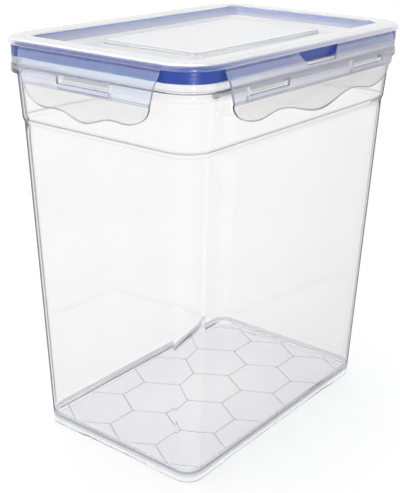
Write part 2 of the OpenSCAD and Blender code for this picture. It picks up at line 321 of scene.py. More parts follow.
def plastic(name, colour, see_through, roughness, tint, line=((0.0, 0.5),), mirror=0.5, flat=None):
    """Clear or milky plastic. colour, see_through and line are given from square on to edge on. The
    darker end of colour is painted shade, and line holds the colour of the painted shade lines.
    """
    mat, tree = new_material(name)
    facing = add_node(tree, "ShaderNodeLayerWeight", {"Blend": 0.5}).outputs["Facing"]
    if flat:
        facing = only_in_corners(tree, facing, flat)
    if isinstance(see_through, list):
        see_through = ramp(tree, facing, see_through)
    flow = object_noise(tree, FLOW_SCALE, 3, FLOW_STRETCH)
    body = add_node(tree, "ShaderNodeBsdfPrincipled", {
        "Base Color": with_painted_lines(tree, ramp(tree, facing, colour), facing, line),
        "Transmission Weight": see_through, "IOR": PLASTIC_IOR, "Specular IOR Level": mirror,
        "Roughness": between(tree, flow, *roughness, *NOISE_ENDS),
        "Normal": bump(tree, object_noise(tree, GRAIN_SCALE), GRAIN_STRENGTH, GRAIN_DEPTH)})
    lets_lamps_through(tree, body.outputs["BSDF"], tint)
    return mat


# %% [markdown]
# ## Container plastics
# The container is glass clear, and its colour ramps and line weights paint shade on it only at its
# corners and steps. A mirror on the edge-on part would show the white room and wash the outline out,
# so the wall has none there. In a thick slab light is thrown back from face to face and never leaves,
# and a render stops following it and shows black. Real plastic scatters a little of it out again, so
# the edge of the floor slab, the mouth and the lugs get materials of their own with a share of soft
# body. The grey lavender of the slab edge is painted shade for the light that runs along the slab.

# %% Container plastics
CLEAR_TINT = (0.94, 0.95, 0.96)
# the dark end of this ramp and its near-black line colour are painted shade
CLEAR = plastic("clear_wall", [
    (0.0, 0.97), (0.27, 0.942), (0.40, (0.925, 0.918, 0.922)), (0.50, (0.86, 0.852, 0.856)),
    (0.60, (0.69, 0.682, 0.688)), (0.66, (0.36, 0.38, 0.43)), (0.74, (0.15, 0.17, 0.23)),
    (1.0, (0.11, 0.13, 0.19))],
    [(0.0, 1.0), (0.61, 1.0), (0.68, 0.35), (0.8, 0.12)], (0.0, 0.015), CLEAR_TINT,
    [(0.25, (0.20, 0.21, 0.24)), (0.42, (0.01, 0.01, 0.02))], mirror=0.0, flat=0.60)
BASE_CLEAR = plastic("clear_base", [
    (0.0, (0.98, 0.98, 0.985)), (0.45, (0.985, 0.98, 0.985)), (0.66, (0.985, 0.98, 0.983)),
    (0.82, (0.78, 0.78, 0.81)), (1.0, (0.5, 0.5, 0.57))],
    1.0, (0.0, 0.02), CLEAR_TINT, [(0.0, (0.45, 0.45, 0.52))])
SLAB_EDGE = plastic("slab_edge", [
    (0.0, (0.74, 0.74, 0.81)), (0.6, (0.68, 0.68, 0.75)), (1.0, (0.4, 0.4, 0.5))],
    0.4, (0.12, 0.2), (0.9, 0.9, 0.93))
MOUTH = plastic("clear_mouth", [
    (0.0, (0.94, 0.94, 0.955)), (0.3, (0.90, 0.90, 0.915)), (0.5, (0.87, 0.87, 0.89)),
    (0.8, (0.74, 0.74, 0.78)), (1.0, (0.5, 0.5, 0.56))],
    0.85, (0.01, 0.04), CLEAR_TINT, [(0.0, (0.52, 0.52, 0.58))])
LUG = plastic("clear_lug", [
    (0.0, (0.97, 0.97, 0.98)), (0.5, (0.94, 0.94, 0.95)), (0.8, (0.86, 0.86, 0.88)),
    (1.0, (0.7, 0.7, 0.75))], 0.5, (0.15, 0.25), CLEAR_TINT)
RIB = plastic("floor_line", [(0.0, (0.93, 0.925, 0.93)), (1.0, (0.74, 0.74, 0.76))],
              1.0, (0.05, 0.15), (0.9, 0.9, 0.9))

# %% [markdown]
# ## Lid and clip plastics
# Lid and clips are a milky plastic, rougher and paler. Such plastic takes on the colour of what lies
# close behind it, and shows little of what lies far off. So the lid is clear only where it is seen
# square on, and the slope beside the gasket and the head of a clip, which lies over the gasket, get a
# painted blue for the gasket seen through them. The ramps of clips and tabs also darken steeply as they
# turn edge on, a painted shade for the faces turned away from the lamps. The finger tabs are thin and
# nearly clear.

# %% Lid plastics
MILKY = plastic("milky_rim", [
    (0.0, (0.98, 0.98, 0.99)), (0.66, (0.96, 0.957, 0.955)), (0.85, (0.84, 0.84, 0.85)),
    (1.0, (0.66, 0.66, 0.70))],
    [(0.0, 0.98), (0.36, 0.92), (0.5, 0.5), (0.63, 0.18), (1.0, 0.08)],
    (0.10, 0.18), (0.90, 0.90, 0.91), [(0.0, (0.40, 0.40, 0.43))])
PANEL = plastic("milky_panel", [
    (0.0, (0.985, 0.985, 0.99)), (0.66, 0.985), (0.85, (0.86, 0.86, 0.88)), (1.0, (0.70, 0.70, 0.74))],
    [(0.0, 0.95), (0.45, 0.85), (0.6, 0.3), (1.0, 0.2)],
    (0.10, 0.14), (0.93, 0.93, 0.94), [(0.0, (0.40, 0.40, 0.43))])
# painted: the slope's blue tint and blue line stand in for the gasket seen through it
PAINTED_BLUE_SLOPE = plastic("slope_painted_gasket_blue", [
    (0.0, (0.88, 0.90, 0.98)), (0.5, (0.86, 0.88, 0.96)), (0.8, (0.82, 0.83, 0.88))],
    [(0.0, 0.6), (0.5, 0.5), (0.7, 0.3)],
    (0.10, 0.14), (0.93, 0.93, 0.96), [(0.0, (0.10, 0.24, 0.80))])

# %% Clip plastics
# the clip's ramp falls steeply past 0.41 of facing: painted shade for faces away from the lamps
CLIP = plastic("milky_clip_painted_shade", [
    (0.0, (0.90, 0.93, 0.99)), (0.28, (0.84, 0.875, 0.97)), (0.41, (0.77, 0.765, 0.84)),
    (0.48, (0.66, 0.65, 0.72)), (0.57, (0.47, 0.46, 0.53)), (1.0, (0.38, 0.38, 0.45))],
    [(0.0, 0.94), (0.3, 0.88), (0.6, 0.62), (1.0, 0.3)], (0.08, 0.16), (0.85, 0.85, 0.88))
# painted: the head's blue stands in for the gasket behind it; its steep fall is painted shade
CLIP_HEAD = plastic("clip_head_painted_gasket_blue", [
    (0.0, (0.86, 0.93, 1.0)), (0.28, (0.74, 0.87, 1.0)), (0.41, (0.75, 0.77, 0.91)),
    (0.48, (0.69, 0.70, 0.81)), (0.57, (0.58, 0.58, 0.67)), (1.0, (0.42, 0.44, 0.55))],
    [(0.0, 0.94), (0.3, 0.84), (0.6, 0.62), (1.0, 0.3)], (0.08, 0.16), (0.92, 0.95, 0.99))
# the tab's ramp falls the same way, painted shade, and its line colour is painted shade too
TAB = plastic("clear_tab_painted_shade", [
    (0.0, (0.93, 0.925, 0.92)), (0.28, 0.90), (0.41, (0.87, 0.86, 0.85)),
    (0.49, (0.74, 0.725, 0.725)), (0.57, (0.63, 0.615, 0.615)), (1.0, (0.40, 0.41, 0.45))],
    0.93, (0.04, 0.10), (0.88, 0.88, 0.88), [(0.25, (0.62, 0.63, 0.67)), (0.45, (0.45, 0.45, 0.50))])
FILM = plastic("hinge_film", [
    (0.0, (0.97, 0.98, 1.0)), (0.6, (0.92, 0.94, 0.98)), (1.0, (0.6, 0.65, 0.8))],
    0.97, (0.03, 0.08), (0.9, 0.92, 0.95))
print(len(bpy.data.materials), "materials so far")

# %% [markdown]
# ## Silicone
# The gasket is soft blue silicone. It has a satin shine with a broad highlight, and its colour is even
# but for faint dust and flow marks, so a noise moves both colour and roughness a little.

# %% Silicone


def silicone():
    mat, tree = new_material("blue_silicone")
    cloud = object_noise(tree, 35, 4)
    body = add_node(tree, "ShaderNodeBsdfPrincipled", {
        "Base Color": ramp(tree, cloud, [(0.3, (0.007, 0.042, 0.30)), (0.7, (0.010, 0.054, 0.35))]),
        "Roughness": between(tree, cloud, 0.24, 0.32, *NOISE_ENDS),
        "Normal": bump(tree, object_noise(tree, 400), 0.1, GRAIN_DEPTH)})
    add_node(tree, "ShaderNodeOutputMaterial", {"Surface": body.outputs["BSDF"]})
    return mat


SILICONE = silicone()

# %% [markdown]
# ## Container
# The real one is a single injection moulding. Its section is followed once: from under the floor, down
# the inside of the foot rim, under the foot, up the tapered wall, over the collar's step, round the
# flange and the bead, over the rim and down inside to the floor. Each edge gets two or three close
# outlines, so that it is a small radius, which is what catches light on moulded plastic. Base, slab
# edge and mouth are rows of faces in the same mesh, so that no seam shows between their materials.

# %% Container wall


def outer_half(z):
    """Half length, half width and corner radius of the outer wall at height z."""
    if z <= collar_z:
        t = z / collar_z
        out = 0
    else:
        t = 1
        out = collar_out * min(1, (z - collar_z) / collar_step)
        out += collar_flare * max(0, (z - collar_z - collar_step) / (flange_z - collar_z - collar_step))
    sizes = zip((*base_half, base_r), (*body_half, body_r))
    return [a + (b - a) * t + out for a, b in sizes]


def wall_outline(z, inset=0):
    hx, hy, r = outer_half(z)
    return outline(hx - inset, hy - inset, r - inset, z)


def foot_outline(inset, z):
    return outline(base_half[0] - inset, base_half[1] - inset, base_r - inset, z)


def cut_back(points):
    """Lifts the foot rim between the corner feet."""
    x_end, y_end = (base_half[0] - foot_len) * MM, (base_half[1] - foot_len) * MM
    lifted = []
    for p in points:
        middle = abs(p.x) < x_end if abs(p.y) > (base_half[1] - base_r) * MM else abs(p.y) < y_end
        lifted.append(p + Vector((0, 0, foot_relief * MM)) if middle else p)
    return lifted


under = floor_z - floor_t
foot = [foot_outline(foot_t + inset, z) for inset, z in (
    (8, under), (1.2, under), (0.3, under - 0.3), (0, under - 1.2))]
foot += [cut_back(foot_outline(inset, z)) for inset, z in (
    (foot_t, 0.7), (foot_t - 0.2, 0.2), (foot_t - 0.7, 0), (0.7, 0), (0.2, 0.2), (0, 0.7))]
body = [wall_outline(z) for z in (2.6, 5, 6.5, 9, 10.5, 20, 60, 100, 140, 180, 220, 255, 263.6, 264.4,
                                  265.0, 265.6, 267.2, 267.9, 268.5, 269.3, 271, 285, flange_z - 0.8)]
mouth = [lip_outline(u, z) for u, z in (
    (collar_u, flange_z - 0.2), (collar_u + 0.3, flange_z), (collar_u + 1.2, flange_z),
    (flange_u - 0.6, flange_z), (flange_u - 0.15, flange_z + 0.15), (flange_u, flange_z + 0.6),
    (flange_u, flange_top - 0.6), (flange_u - 0.15, flange_top - 0.15), (flange_u - 0.6, flange_top),
    (mouth_u + 0.3, flange_top), (mouth_u, flange_top + 0.3), (mouth_u, bead_z - 0.3),
    (mouth_u + 0.3, bead_z), (bead_u - 0.5, bead_z), (bead_u - 0.15, bead_z + 0.15),
    (bead_u, bead_z + 0.5), (bead_u, rim_z - 0.9), (bead_u - 0.26, rim_z - 0.26),
    (bead_u - 0.9, rim_z), (mouth_u - wall + 0.6, rim_z), (mouth_u - wall + 0.17, rim_z - 0.17),
    (mouth_u - wall, rim_z - 0.6), (mouth_u - wall, flange_z + 5), (collar_u - wall, flange_z + 2.2))]
outside = foot + body + mouth

# %% Lines and inner wall
# weight of the painted shade line at each step in the wall, by its height in millimetres
FOOT_PAINTED_LINES = {0.0: 0.5, 0.2: 0.4, 5.7: 0.3, 6.0: 0.2}
COLLAR_PAINTED_LINES = {265.0: 0.3, 267.9: 0.4, 268.5: 0.95, 269.3: 0.25}
MOUTH_PAINTED_LINES = {304.0: 0.6, 304.2: 0.6, 309.8: 0.5, 310.0: 0.4, 311.2: 0.5, 311.5: 0.3, 316.2: 0.3}
FLOOR_PAINTED_LINE = 0.35
FLOOR_FILLET = 3.0
inner_heights = (300, 285, 272, 268.5, 265, 255, 220, 180, 140, 100, 60, 30, 15)
inside = [wall_outline(z, wall) for z in inner_heights]
inside += [wall_outline(floor_z + FLOOR_FILLET - rise, wall + FLOOR_FILLET - run)
           for run, rise in arc(0, 0, FLOOR_FILLET, 0, 90, 4)]
inside.append(wall_outline(floor_z, wall + FLOOR_FILLET + 3))
shades = painted_line_weights(outside, FOOT_PAINTED_LINES | COLLAR_PAINTED_LINES | MOUTH_PAINTED_LINES)
shades += [0.0] * (len(inside) - 2) + [FLOOR_PAINTED_LINE, 0.0]
container = loft("container_wall", outside + inside, sharp=50, lines=shades)
slab_row, mouth_row = len(foot) + 1, len(foot) + len(body)
floor_row = len(outside) + len(inner_heights) - 1
base_rows = set(range(slab_row)) | set(range(floor_row, len(outside) + len(inside) + 2))
slab_rows, mouth_rows = range(slab_row, slab_row + 3), range(mouth_row, len(outside) - 1)
row_materials(container, CLEAR, [(BASE_CLEAR, base_rows), (SLAB_EDGE, slab_rows), (MOUTH, mouth_rows)])

# %% [markdown]
# ## Lugs
# The lugs on the flange are what the clips hook under. Each is a short wedge: the sloped top lets the
# hook bar ride over it, the flat underside holds. A bevel softens them, as the mould does.

# %% Lugs
SIDES = {"front": 0, "right": 90, "back": 180, "left": 270}


def side_matrix(side):
    """Puts what is drawn for the front on another side."""
    half = lid_half[1] if side in ("front", "back") else lid_half[0]
    return Matrix.Rotation(math.radians(SIDES[side]), 4, "Z") @ Matrix.Translation((0, -half * MM, 0))


def prism(section, length, middle=0):
    """Mesh of a section of offsets and heights run along a side, centred on middle."""
    mesh = bpy.data.meshes.new("prism")
    n = len(section)
    verts = [Vector((middle + s * length / 2, -u, z)) * MM for s in (-1, 1) for u, z in section]
    faces = [(j, (j + 1) % n, n + (j + 1) % n, n + j) for j in range(n)]
    faces += [tuple(reversed(range(n))), tuple(range(n, 2 * n))]
    mesh.from_pydata(verts, [], faces)
    work = bmesh.new()
    work.from_mesh(mesh)
    bmesh.ops.recalc_face_normals(work, faces=work.faces)
    work.to_mesh(mesh)
    work.free()
    return mesh


def bevelled(piece, width):
    """Rounds the edges with a Bevel modifier and returns the piece."""
    modifier = piece.modifiers.new("soft_edges", "BEVEL")
    modifier.width = width * MM
    modifier.segments = 2
    modifier.limit_method = "ANGLE"
    modifier.angle_limit = math.radians(40)
    modifier.harden_normals = True
    return piece


LUG_SECTION = [(flange_u - 0.3, lug_z), (lug_u, lug_z), (lug_u, lug_z + lug_h / 2),
               (flange_u, lug_z + lug_h), (flange_u - 0.3, lug_z + lug_h)]
LONG_WINDOWS, SHORT_WINDOWS = (-69.0, 69.0), (0.0,)
LUG_BEVEL, CLIP_BEVEL = 0.35, 0.3
lugs = []
for side in SIDES:
    places = LONG_WINDOWS if side in ("front", "back") else SHORT_WINDOWS
    for number, place in enumerate(places):
        mesh = prism(LUG_SECTION, lug_w, place)
        mesh.transform(side_matrix(side))
        lugs.append(bevelled(finish_mesh(f"{side}_lug_{number + 1}", mesh), LUG_BEVEL))
        lugs[-1].data.materials.append(LUG)

# %% [markdown]
# ## Hexagon lines in the floor
# The floor has a honeycomb of thin raised lines, which stiffens it and hides scratches. It is one shape
# repeated on a lattice, so Geometry Nodes make it: two grids of points give the lattice, a hexagon
# stands on each point, shared edges are merged, what lies past the wall is deleted, and the edges that
# remain become thin half-round ribs.

# %% Hexagon lines


def honeycomb_group():
    group = bpy.data.node_groups.new("floor_honeycomb", "GeometryNodeTree")
    for name, value in (("Cell Radius", 0.03), ("Rib Width", 0.001), ("Half Length", 0.1),
                        ("Half Width", 0.07), ("Floor Height", 0.01), ("Shift X", 0), ("Shift Y", 0)):
        group.interface.new_socket(name, socket_type="NodeSocketFloat").default_value = value
    group.interface.new_socket("Material", socket_type="NodeSocketMaterial")
    group.interface.new_socket("Geometry", in_out="OUTPUT", socket_type="NodeSocketGeometry")
    given = group.nodes.new("NodeGroupInput").outputs

    def add(kind, inputs=None):
        return add_node(group, kind, inputs).outputs[0]

    def lattice(columns, rows):
        return add("GeometryNodeMeshGrid", {
            "Vertices X": columns, "Vertices Y": rows,
            "Size X": maths(group, "MULTIPLY", given["Cell Radius"], 3 * (columns - 1)),
            "Size Y": maths(group, "MULTIPLY", given["Cell Radius"], math.sqrt(3) * (rows - 1))})

    points = group.nodes.new("GeometryNodeJoinGeometry")
    for columns, rows in ((3, 5), (4, 4)):
        group.links.new(lattice(columns, rows), points.inputs["Geometry"])
    shift = add("ShaderNodeCombineXYZ", {"X": given["Shift X"], "Y": given["Shift Y"]})
    moved = add("GeometryNodeTransform", {"Geometry": points.outputs["Geometry"], "Translation": shift})
    hexagon = add("GeometryNodeMeshCircle", {"Vertices": 6, "Radius": given["Cell Radius"]})
    finer = add("GeometryNodeSubdivideMesh", {"Mesh": hexagon, "Level": 4})
    stood = add("GeometryNodeInstanceOnPoints", {"Points": moved, "Instance": finer})
    stood = add("GeometryNodeRealizeInstances", {"Geometry": stood})
    merged = add("GeometryNodeMergeByDistance", {"Geometry": stood, "Distance": 0.0003})
    position = add("GeometryNodeInputPosition")
    place = add_node(group, "ShaderNodeSeparateXYZ", {"Vector": position}).outputs
    past = [maths(group, "GREATER_THAN", maths(group, "ABSOLUTE", place[axis]), given[limit])
            for axis, limit in (("X", "Half Length"), ("Y", "Half Width"))]
    trimmed = add("GeometryNodeDeleteGeometry", {
        "Geometry": merged, "Selection": maths(group, "MAXIMUM", *past)})
    lines = add("GeometryNodeMeshToCurve", {"Mesh": trimmed})
    section = add("GeometryNodeCurvePrimitiveCircle", {
        "Resolution": 8, "Radius": maths(group, "MULTIPLY", given["Rib Width"], 0.5)})
    ribs = add("GeometryNodeCurveToMesh", {"Curve": lines, "Profile Curve": section, "Fill Caps": True})
    height = add("ShaderNodeCombineXYZ", {"Z": given["Floor Height"]})
    lifted = add("GeometryNodeTransform", {
        "Geometry": ribs, "Translation": height, "Scale": (1, 1, 0.7)})
    real = add("GeometryNodeRealizeInstances", {"Geometry": lifted})
    finish = add("GeometryNodeSetMaterial", {"Geometry": real, "Material": given["Material"]})
    group.links.new(finish, group.nodes.new("NodeGroupOutput").inputs[0])
    return group


def from_nodes(name, group, values):
    """Runs a node group on an empty mesh and returns what it makes as a plain mesh object."""
    carrier = bpy.data.objects.new(name + "_carrier", bpy.data.meshes.new(name))
    bpy.context.scene.collection.objects.link(carrier)
    modifier = carrier.modifiers.new("make", "NODES")
    modifier.node_group = group
    for item in group.interface.items_tree:
        if item.item_type == "SOCKET" and item.in_out == "INPUT" and item.name in values:
            modifier[item.identifier] = values[item.name]
    depsgraph = bpy.context.evaluated_depsgraph_get()
    mesh = bpy.data.meshes.new_from_object(carrier.evaluated_get(depsgraph))
    bpy.data.objects.remove(carrier)
    return finish_mesh(name, mesh, 60)


cell_radius, rib_width, shift_x, shift_y = 29.0, 1.1, -4.0, -3.2
floor_x, floor_y = [half - wall - FLOOR_FILLET for half in outer_half(floor_z)[:2]]
honeycomb = from_nodes("floor_honeycomb", honeycomb_group(), {
    "Cell Radius": cell_radius * MM, "Rib Width": rib_width * MM, "Half Length": floor_x * MM,
    "Half Width": floor_y * MM, "Floor Height": floor_z * MM, "Shift X": shift_x * MM,
    "Shift Y": shift_y * MM, "Material": RIB})

# %% [markdown]
# ## Gasket
# The gasket is a silicone ring that fills the lid's channel and shows as the blue band between the lid
# and the rim. It is extruded and joined in reality, so its outer face has fine running lines, which
# here are shallow waves in the section.

# %% Gasket
gasket_out, gasket_in = -1.7, -9.1
channel_bevel = 1.6
gasket_top = lid_top - 2.1
RUNNING_LINES, LINE_DEPTH, BAND_STEPS = 3, 0.12, 24
band = []
for i in range(BAND_STEPS + 1):
    t = i / BAND_STEPS
    depth = LINE_DEPTH * (1 - math.cos(2 * math.pi * RUNNING_LINES * t)) / 2
    band.append((gasket_out - depth, rim_z + 0.5 + (lip_z - rim_z - 0.7) * t))
gasket_section = [(gasket_out - 0.5, rim_z + 0.02)] + band + [
    (gasket_out, gasket_top - channel_bevel), (gasket_out - channel_bevel, gasket_top),
    (gasket_in + 0.5, gasket_top), (gasket_in, gasket_top - 0.5), (gasket_in, rim_z + 2),
    (gasket_out - 4.8, rim_z + 0.02)]
gasket = loft("gasket_ring", [lip_outline(u, z) for u, z in gasket_section], closed=True)
gasket.data.materials.append(SILICONE)

# %% [markdown]
# ## Lid
# The lid is one moulding too: a raised rim with a rounded top, a sloping wall down to a recess, and a
# raised panel in the middle. Its section is followed from under the panel out to the lip and back over
# the top, so that the channel for the gasket and the skirt are there when the lid is lifted.

# %% Lid
lid_t, lip_t, rim_w, rim_round, rim_round_in = 2.0, 1.6, 19.0, 4.2, 2.6
recess_z, recess_run = lid_top - 8.2, 4.5
panel_half, panel_r, panel_h = (83.0, 47.5), 7.0, 3.2
skirt_out, skirt_in, skirt_low = gasket_in - 0.1, gasket_in - 1.7, rim_z + 2.5


def panel_outline(out, z):
    return outline(panel_half[0] + out, panel_half[1] + out, panel_r + out, z)


ceiling = lid_top - lid_t
crest = -rim_w + rim_round_in
foot_u = -rim_w - recess_run
slope_top_u = crest - rim_round_in * math.cos(math.radians(30))
panel_ceiling = recess_z + panel_h - lid_t
under_lid = [panel_outline(o, z) for o, z in (
    (-lid_t - 6, panel_ceiling), (-lid_t - 0.5, panel_ceiling), (-lid_t, panel_ceiling - 0.5),
    (-lid_t, recess_z - lid_t + 0.3), (-lid_t + 0.3, recess_z - lid_t))]
under_lid += [lip_outline(u, z) for u, z in (
    (foot_u - 1.5, recess_z - lid_t), (foot_u + 0.6, recess_z - lid_t),
    (foot_u + 1.6, recess_z - lid_t + 0.6), (slope_top_u + 2.2, ceiling - 0.4),
    (slope_top_u + 2.8, ceiling), (skirt_in - 0.3, ceiling), (skirt_in, ceiling - 0.3),
    (skirt_in, skirt_low + 0.4), (skirt_in + 0.4, skirt_low), (skirt_out - 0.4, skirt_low),
    (skirt_out, skirt_low + 0.4), (skirt_out, ceiling), (-lip_t - channel_bevel, ceiling),
    (-lip_t, ceiling - channel_bevel), (-lip_t, lip_z + 0.3), (-lip_t + 0.3, lip_z), (-0.4, lip_z),
    (-0.12, lip_z + 0.12), (0, lip_z + 0.4))]
rim_top = [lip_outline(u, z) for u, z in
           arc(-rim_round, lid_top - rim_round, rim_round, 0, 90, 10)
           + arc(crest, lid_top - rim_round_in, rim_round_in, 90, 150, 6)
           + [(slope_top_u - 0.7, lid_top - rim_round_in - 0.05), (foot_u + 0.5, recess_z + 0.9),
              (foot_u, recess_z + 0.35), (foot_u - 0.8, recess_z)]]
panel_z = recess_z + panel_h
panel = [panel_outline(o, z) for o, z in (
    (2.4, recess_z), (1.2, recess_z), (0.5, recess_z + 0.1), (0.1, recess_z + 0.6),
    (0, panel_z - 0.9), (-0.26, panel_z - 0.26), (-0.9, panel_z), (-2, panel_z))]

# %% Lid lines and materials
# painted lines: grey painted shade on the rim and panel steps, blue at the top of the slope
crest_painted_lines = [0.35, 0.2, 0.0, 0.0, 0.3, 1.0, 0.35, 0.0, 0.3, 0.0]
panel_painted_lines = [0.0, 0.0, 0.4, 0.6, 0.0, 0.6, 0.9, 0.0]
plain_rows = len(under_lid) + len(rim_top) - len(crest_painted_lines)
lid = loft("lid_shell", under_lid + rim_top + panel, sharp=50,
           lines=[0.0] * plain_rows + crest_painted_lines + panel_painted_lines)
recess_row = len(under_lid) + len(rim_top) - 2
ceiling_rows = 16
panel_rows = set(range(ceiling_rows)) | set(range(recess_row, recess_row + len(panel) + 4))
row_materials(lid, MILKY, [(PANEL, panel_rows), (PAINTED_BLUE_SLOPE, range(recess_row - 3, recess_row))])

# %% [markdown]
# ## Moulding nub
# The plastic entered the lid's mould at its middle and left a small round nub. It is a spun dome.

# %% Moulding nub


def spun(name, profile, material, steps=24):
    """Surface of revolution round Z from radius and height pairs, closed at the axis."""
    verts = [Vector((r * math.cos(a), r * math.sin(a), z)) * MM
             for r, z in profile for a in [2 * math.pi * i / steps for i in range(steps)]]
    faces = [(low + i, low + (i + 1) % steps, low + steps + (i + 1) % steps, low + steps + i)
             for low in range(0, steps * (len(profile) - 1), steps) for i in range(steps)]
    faces += [tuple(reversed(range(steps))), tuple(range(len(verts) - steps, len(verts)))]
    mesh = bpy.data.meshes.new(name)
    mesh.from_pydata(verts, [], faces)
    piece = finish_mesh(name, mesh)
    piece.data.materials.append(material)
    return piece


nub = spun("lid_nub", [(1.8, panel_z - 0.2), (1.8, panel_z), (1.5, panel_z + 0.3),
                       (1.0, panel_z + 0.48), (0.4, panel_z + 0.5)], MILKY)

# %% [markdown]
# ## Clips
# A clip is a bulged plate with windows for the lugs, a hook bar under each window, and a thinner tab
# with a waved edge that a finger pulls. Cutting windows with booleans would leave long thin faces, so
# the plate is a grid of cells: each cell has an outer and an inner face, cells at a window or at the
# notch are left out, and side faces close the thickness wherever a cell has no neighbour.

# %% Grid shells


def grid_shell(columns, rows, outer, inner, keep, shade=lambda s, t: 0.0):
    """Closed mesh over a grid. outer and inner give a point for a column and a row, and shade gives
    its painted shade line weight."""
    mesh = bpy.data.meshes.new("grid_shell")
    work = bmesh.new()
    line = work.verts.layers.float.new("line")
    cells = {(i, j) for i in range(len(columns) - 1) for j in range(len(rows) - 1) if keep(i, j)}
    found = {}

    def vertex(layer, i, j):
        if (layer, i, j) not in found:
            place = (outer if layer == "out" else inner)(columns[i], rows[j])
            found[layer, i, j] = work.verts.new(place)
            found[layer, i, j][line] = shade(columns[i], rows[j])
        return found[layer, i, j]

    for i, j in cells:
        ring = [(i, j), (i + 1, j), (i + 1, j + 1), (i, j + 1)]
        work.faces.new([vertex("out", *p) for p in ring])
        work.faces.new([vertex("in", *p) for p in reversed(ring)])
        neighbours = [(i, j - 1), (i + 1, j), (i, j + 1), (i - 1, j)]
        for k, neighbour in enumerate(neighbours):
            if neighbour not in cells:
                a, b = ring[k], ring[(k + 1) % 4]
                side = (("out", b), ("out", a), ("in", a), ("in", b))
                work.faces.new([vertex(layer, *place) for layer, place in side])
    bmesh.ops.remove_doubles(work, verts=work.verts, dist=0.000005)
    bmesh.ops.recalc_face_normals(work, faces=work.faces)
    work.to_mesh(mesh)
    work.free()
    return mesh


# %% Shape of a clip
WINDOW_W, POST_W, POST_OUT = 49.0, 3.0, 0.48
hook_z, window_top = lug_z - 0.4, lug_z + lug_h + 0.9
ledge_z = hook_z - 4.5
CLIP_T, TAB_T, TAPER = 1.8, 1.5, 6.0
HEAD_Z = 316.0
tab_u = lug_u + 0.3
plate_u = tab_u + TAB_T - 0.4
head_in_u, head_out_u = -0.6, 1.4
NOTCH = (27.0, 19.5, 8.0)
LOBES = {"long": dict(dip=11.8, dip_s=52.0, side_s=78.2),
         "short": dict(dip=14.6, dip_s=27.0, side_s=38.5)}
LOBE_MID, LOBE_SIDE, FLICK = 20.5, 15.2, 1.0


def ease(t):
    return (1 - math.cos(math.pi * t)) / 2


def tab_depth(s, end, dip, dip_s, side_s):
    """How far the waved edge of a tab lies below the ledge at distance s from its middle."""
    s = abs(s)
    if s < dip_s:
        return LOBE_MID + (dip - LOBE_MID) * ease(s / dip_s)
    if s < side_s:
        return dip + (LOBE_SIDE - dip) * ease((s - dip_s) / (side_s - dip_s))
    return LOBE_SIDE * math.sqrt(max(0, 1 - ((s - side_s) / (end - side_s)) ** 2))


def section_u(z, side):
    """Offset of the plate's outer or inner face at height z."""
    top, low = clip_top, window_top
    if side == "out":
        top -= 2
        start, end = head_out_u, plate_u + CLIP_T
        if z > top:
            return start - (z - top) / 2 * (head_out_u - 0.4)
    else:
        start, end = head_in_u, plate_u
    t = min(1, (top - z) / (top - low))
    return start + (end - start) * math.sin(math.pi / 2 * t)


def refined(stops, step):
    """Adds evenly spaced values between stops, no more than step apart."""
    values = [stops[0]]
    for a, b in zip(stops, stops[1:]):
        n = max(1, math.ceil(abs(b - a) / step))
        values += [a + (b - a) * i / n for i in range(1, n + 1)]
    return values


def mirrored(stops):
    return [-s for s in reversed(stops) if s] + ([0.0] if 0 in stops else []) + [s for s in stops if s]


print("window", hook_z, "to", window_top, "ledge", ledge_z)

# %% Plate of a clip


def clip_plate(half, windows, notched):
    """Upper plate of a clip, with its windows, posts and notch."""
    post = WINDOW_W / 2 + POST_W
    field = max(windows) - post - 2 if notched else 0
    stops = [0.0]
    if notched:
        stops += [NOTCH[1], field - 0.3, field]
    for w in windows:
        if w >= 0:
            reach = (WINDOW_W / 2, post, post + 0.2)
            edges = [w - r for r in reversed(reach)] + [w + r for r in reach]
            stops += [e for e in edges if e > 0]
    inner_last = stops[-1]
    stops.append(half)
    columns = mirrored(refined(stops, 4))
    low_half = half - TAPER
    row_stops = [clip_top, clip_top - 1.0, clip_top - 2.0]
    row_stops += [clip_top - NOTCH[2]] if notched else []
    row_stops += [window_top, window_top - 0.3, hook_z, ledge_z + 0.6, ledge_z + 0.3, ledge_z]
    rows = refined(row_stops, 1.2)

    def across(s, z):
        """Column s at height z: the ends taper, and the notch's sides slope."""
        a = abs(s)
        if a > inner_last:
            end = half + (low_half - half) * (clip_top - z) / (clip_top - ledge_z)
            a = inner_last + (a - inner_last) / (half - inner_last) * (end - inner_last)
        elif notched and a <= field - 0.3:
            rise = max(0, (z - clip_top + NOTCH[2]) / NOTCH[2])
            edge = NOTCH[1] + (NOTCH[0] - NOTCH[1]) * rise
            if a <= NOTCH[1]:
                a = a / NOTCH[1] * edge
            else:
                a = edge + (a - NOTCH[1]) / (field - 0.3 - NOTCH[1]) * (field - 0.3 - edge)
        return math.copysign(a, s) if s else 0.0

    def outer(s, z):
        u = section_u(z, "out")
        near = min(abs(abs(s) - abs(w)) for w in windows)
        if WINDOW_W / 2 - 0.01 < near < post + 0.01 and z < window_top + 0.01:
            u += POST_OUT
        if notched and abs(s) < field - 0.29 and ledge_z + 0.5 < z < window_top - 0.2:
            u -= 0.4
        return Vector((across(s, z), -u, z)) * MM

    def inner(s, z):
        return Vector((across(s, z), -section_u(z, "in"), z)) * MM

    def keep(i, j):
        s, z = (columns[i] + columns[i + 1]) / 2, (rows[j] + rows[j + 1]) / 2
        window = hook_z < z < window_top and any(abs(s - w) < WINDOW_W / 2 for w in windows)
        notch = notched and z > clip_top - NOTCH[2] and abs(s) < NOTCH[1]
        return not window and not notch

    return grid_shell(columns, rows, outer, inner, keep)


# %% Tab of a clip


